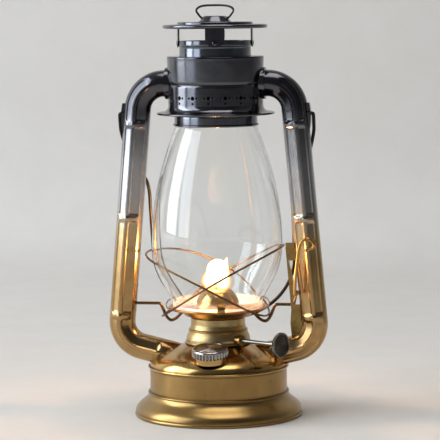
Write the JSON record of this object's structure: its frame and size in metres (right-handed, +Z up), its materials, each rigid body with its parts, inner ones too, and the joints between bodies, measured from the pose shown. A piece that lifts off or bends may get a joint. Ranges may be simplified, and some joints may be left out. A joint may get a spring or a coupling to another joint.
{
  "type": "hurricane lamp",
  "caption": "Oil lantern with air tubes beside a glass globe, a fuel tank with screw cap and wick knob, a globe lift lever, a sliding chimney canopy, a top ring and a swinging bail",
  "frame": {"origin": "centre of the foot's resting circle, on the surface that the lamp stands on", "axes": "+Z up along the globe's axis; +X towards the side with the lift lever; -Y is the front, with the filler cap and the wick knob"},
  "size_m": [0.146, 0.1112, 0.2708],
  "materials": {
    "satin_brass": "satin brass with fine turning lines",
    "polished_brass": "polished brass",
    "heat_toned_brass": "polished brass that turns to dark nickel towards the top",
    "black_nickel": "dark nickel plating, mirror bright",
    "nickel": "nickel plating",
    "steel": "plain steel",
    "brass_wire": "drawn brass wire, slightly tarnished",
    "dark_wire": "dark nickel-plated steel wire",
    "gasket_rubber": "black rubber washer",
    "cotton_wick": "woven cotton",
    "clear_glass": "clear blown glass"
  },
  "bodies": {
    "frame": {"foot": "satin_brass", "tank_bottom": "satin_brass", "tank_drum": "satin_brass", "tank_dome": "polished_brass", "air_chamber": "satin_brass", "filler_neck": "polished_brass", "burner_collar": "polished_brass", "burner_floor": "satin_brass", "wick_tube": "satin_brass", "burner_cone": "polished_brass", "shaft_gland": "polished_brass", "side_tube_left": "heat_toned_brass", "side_tube_right": "heat_toned_brass", "tube_flanges": "black_nickel", "bail_ears": "black_nickel", "lift_bracket": "polished_brass", "hood": "black_nickel", "hood_guide": "black_nickel"},
    "cage": {"globe_plate": "polished_brass", "globe_clips": "polished_brass", "globe": "clear_glass", "guard_ring_high_left": "brass_wire", "guard_ring_high_right": "brass_wire", "lift_wire_left": "brass_wire", "lift_wire_right": "brass_wire"},
    "lever": {"lift_lever": "brass_wire"},
    "canopy": {"chimney": "black_nickel", "canopy_legs": "black_nickel", "canopy_rivets": "steel", "canopy_disc": "black_nickel", "canopy_boss": "black_nickel", "canopy_spring": "steel"},
    "ring": {"top_ring": "nickel"},
    "bail": {"bail": "dark_wire"},
    "winder": {"wick_wheels": "steel", "knob_shaft": "nickel", "wick_knob": "nickel"},
    "wick": {"wick": "cotton_wick"},
    "gasket": {"cap_gasket": "gasket_rubber"},
    "cap": {"filler_cap": "nickel"}
  },
  "joints": [
    {"name": "cage_lift", "type": "slide", "parent": "frame", "child": "cage", "axis": [0, 0, 1], "range_m": [0, 0.009], "deforming": ["canopy_spring"]},
    {"name": "lever_turn", "type": "hinge", "parent": "frame", "child": "lever", "pos_m": [0.0523, 0, 0.0815], "axis": [0, 1, 0], "range_deg": [0, 68]},
    {"name": "canopy_lift", "type": "slide", "parent": "cage", "child": "canopy", "axis": [0, 0, 1], "range_m": [0, 0.008], "stiffness_N_per_m": 60, "deforming": ["canopy_spring"]},
    {"name": "ring_turn", "type": "hinge", "parent": "canopy", "child": "ring", "pos_m": [0, 0, 0.2619], "axis": [1, 0, 0], "range_deg": [-80, 80]},
    {"name": "bail_swing", "type": "hinge", "parent": "frame", "child": "bail", "pos_m": [0, 0, 0.1995], "axis": [1, 0, 0], "range_deg": [0, 326]},
    {"name": "knob_turn", "type": "hinge", "parent": "frame", "child": "winder", "pos_m": [-0.00228, -0.00365, 0.0515], "axis": [0.848, -0.5299, 0], "range_deg": [-98, 35]},
    {"name": "wick_lift", "type": "slide", "parent": "frame", "child": "wick", "axis": [0, 0, 1], "range_m": [-0.00548, 0.00196]},
    {"name": "cap_lift", "type": "slide", "parent": "frame", "child": "gasket", "axis": [0, -0.1736, 0.9848], "range_m": [0, 0.005]},
    {"name": "cap_turn", "type": "hinge", "parent": "gasket", "child": "cap", "pos_m": [0, -0.037, 0.05], "axis": [0, -0.1736, 0.9848], "range_deg": [0, 900]}
  ],
  "couplings": [
    {"joint": "lever_turn", "follows": "cage_lift", "rad_per_m": 131.87},
    {"joint": "wick_lift", "follows": "knob_turn", "m_per_rad": 0.0032},
    {"joint": "cap_lift", "follows": "cap_turn", "m_per_rad": 0.00031831}
  ]
}
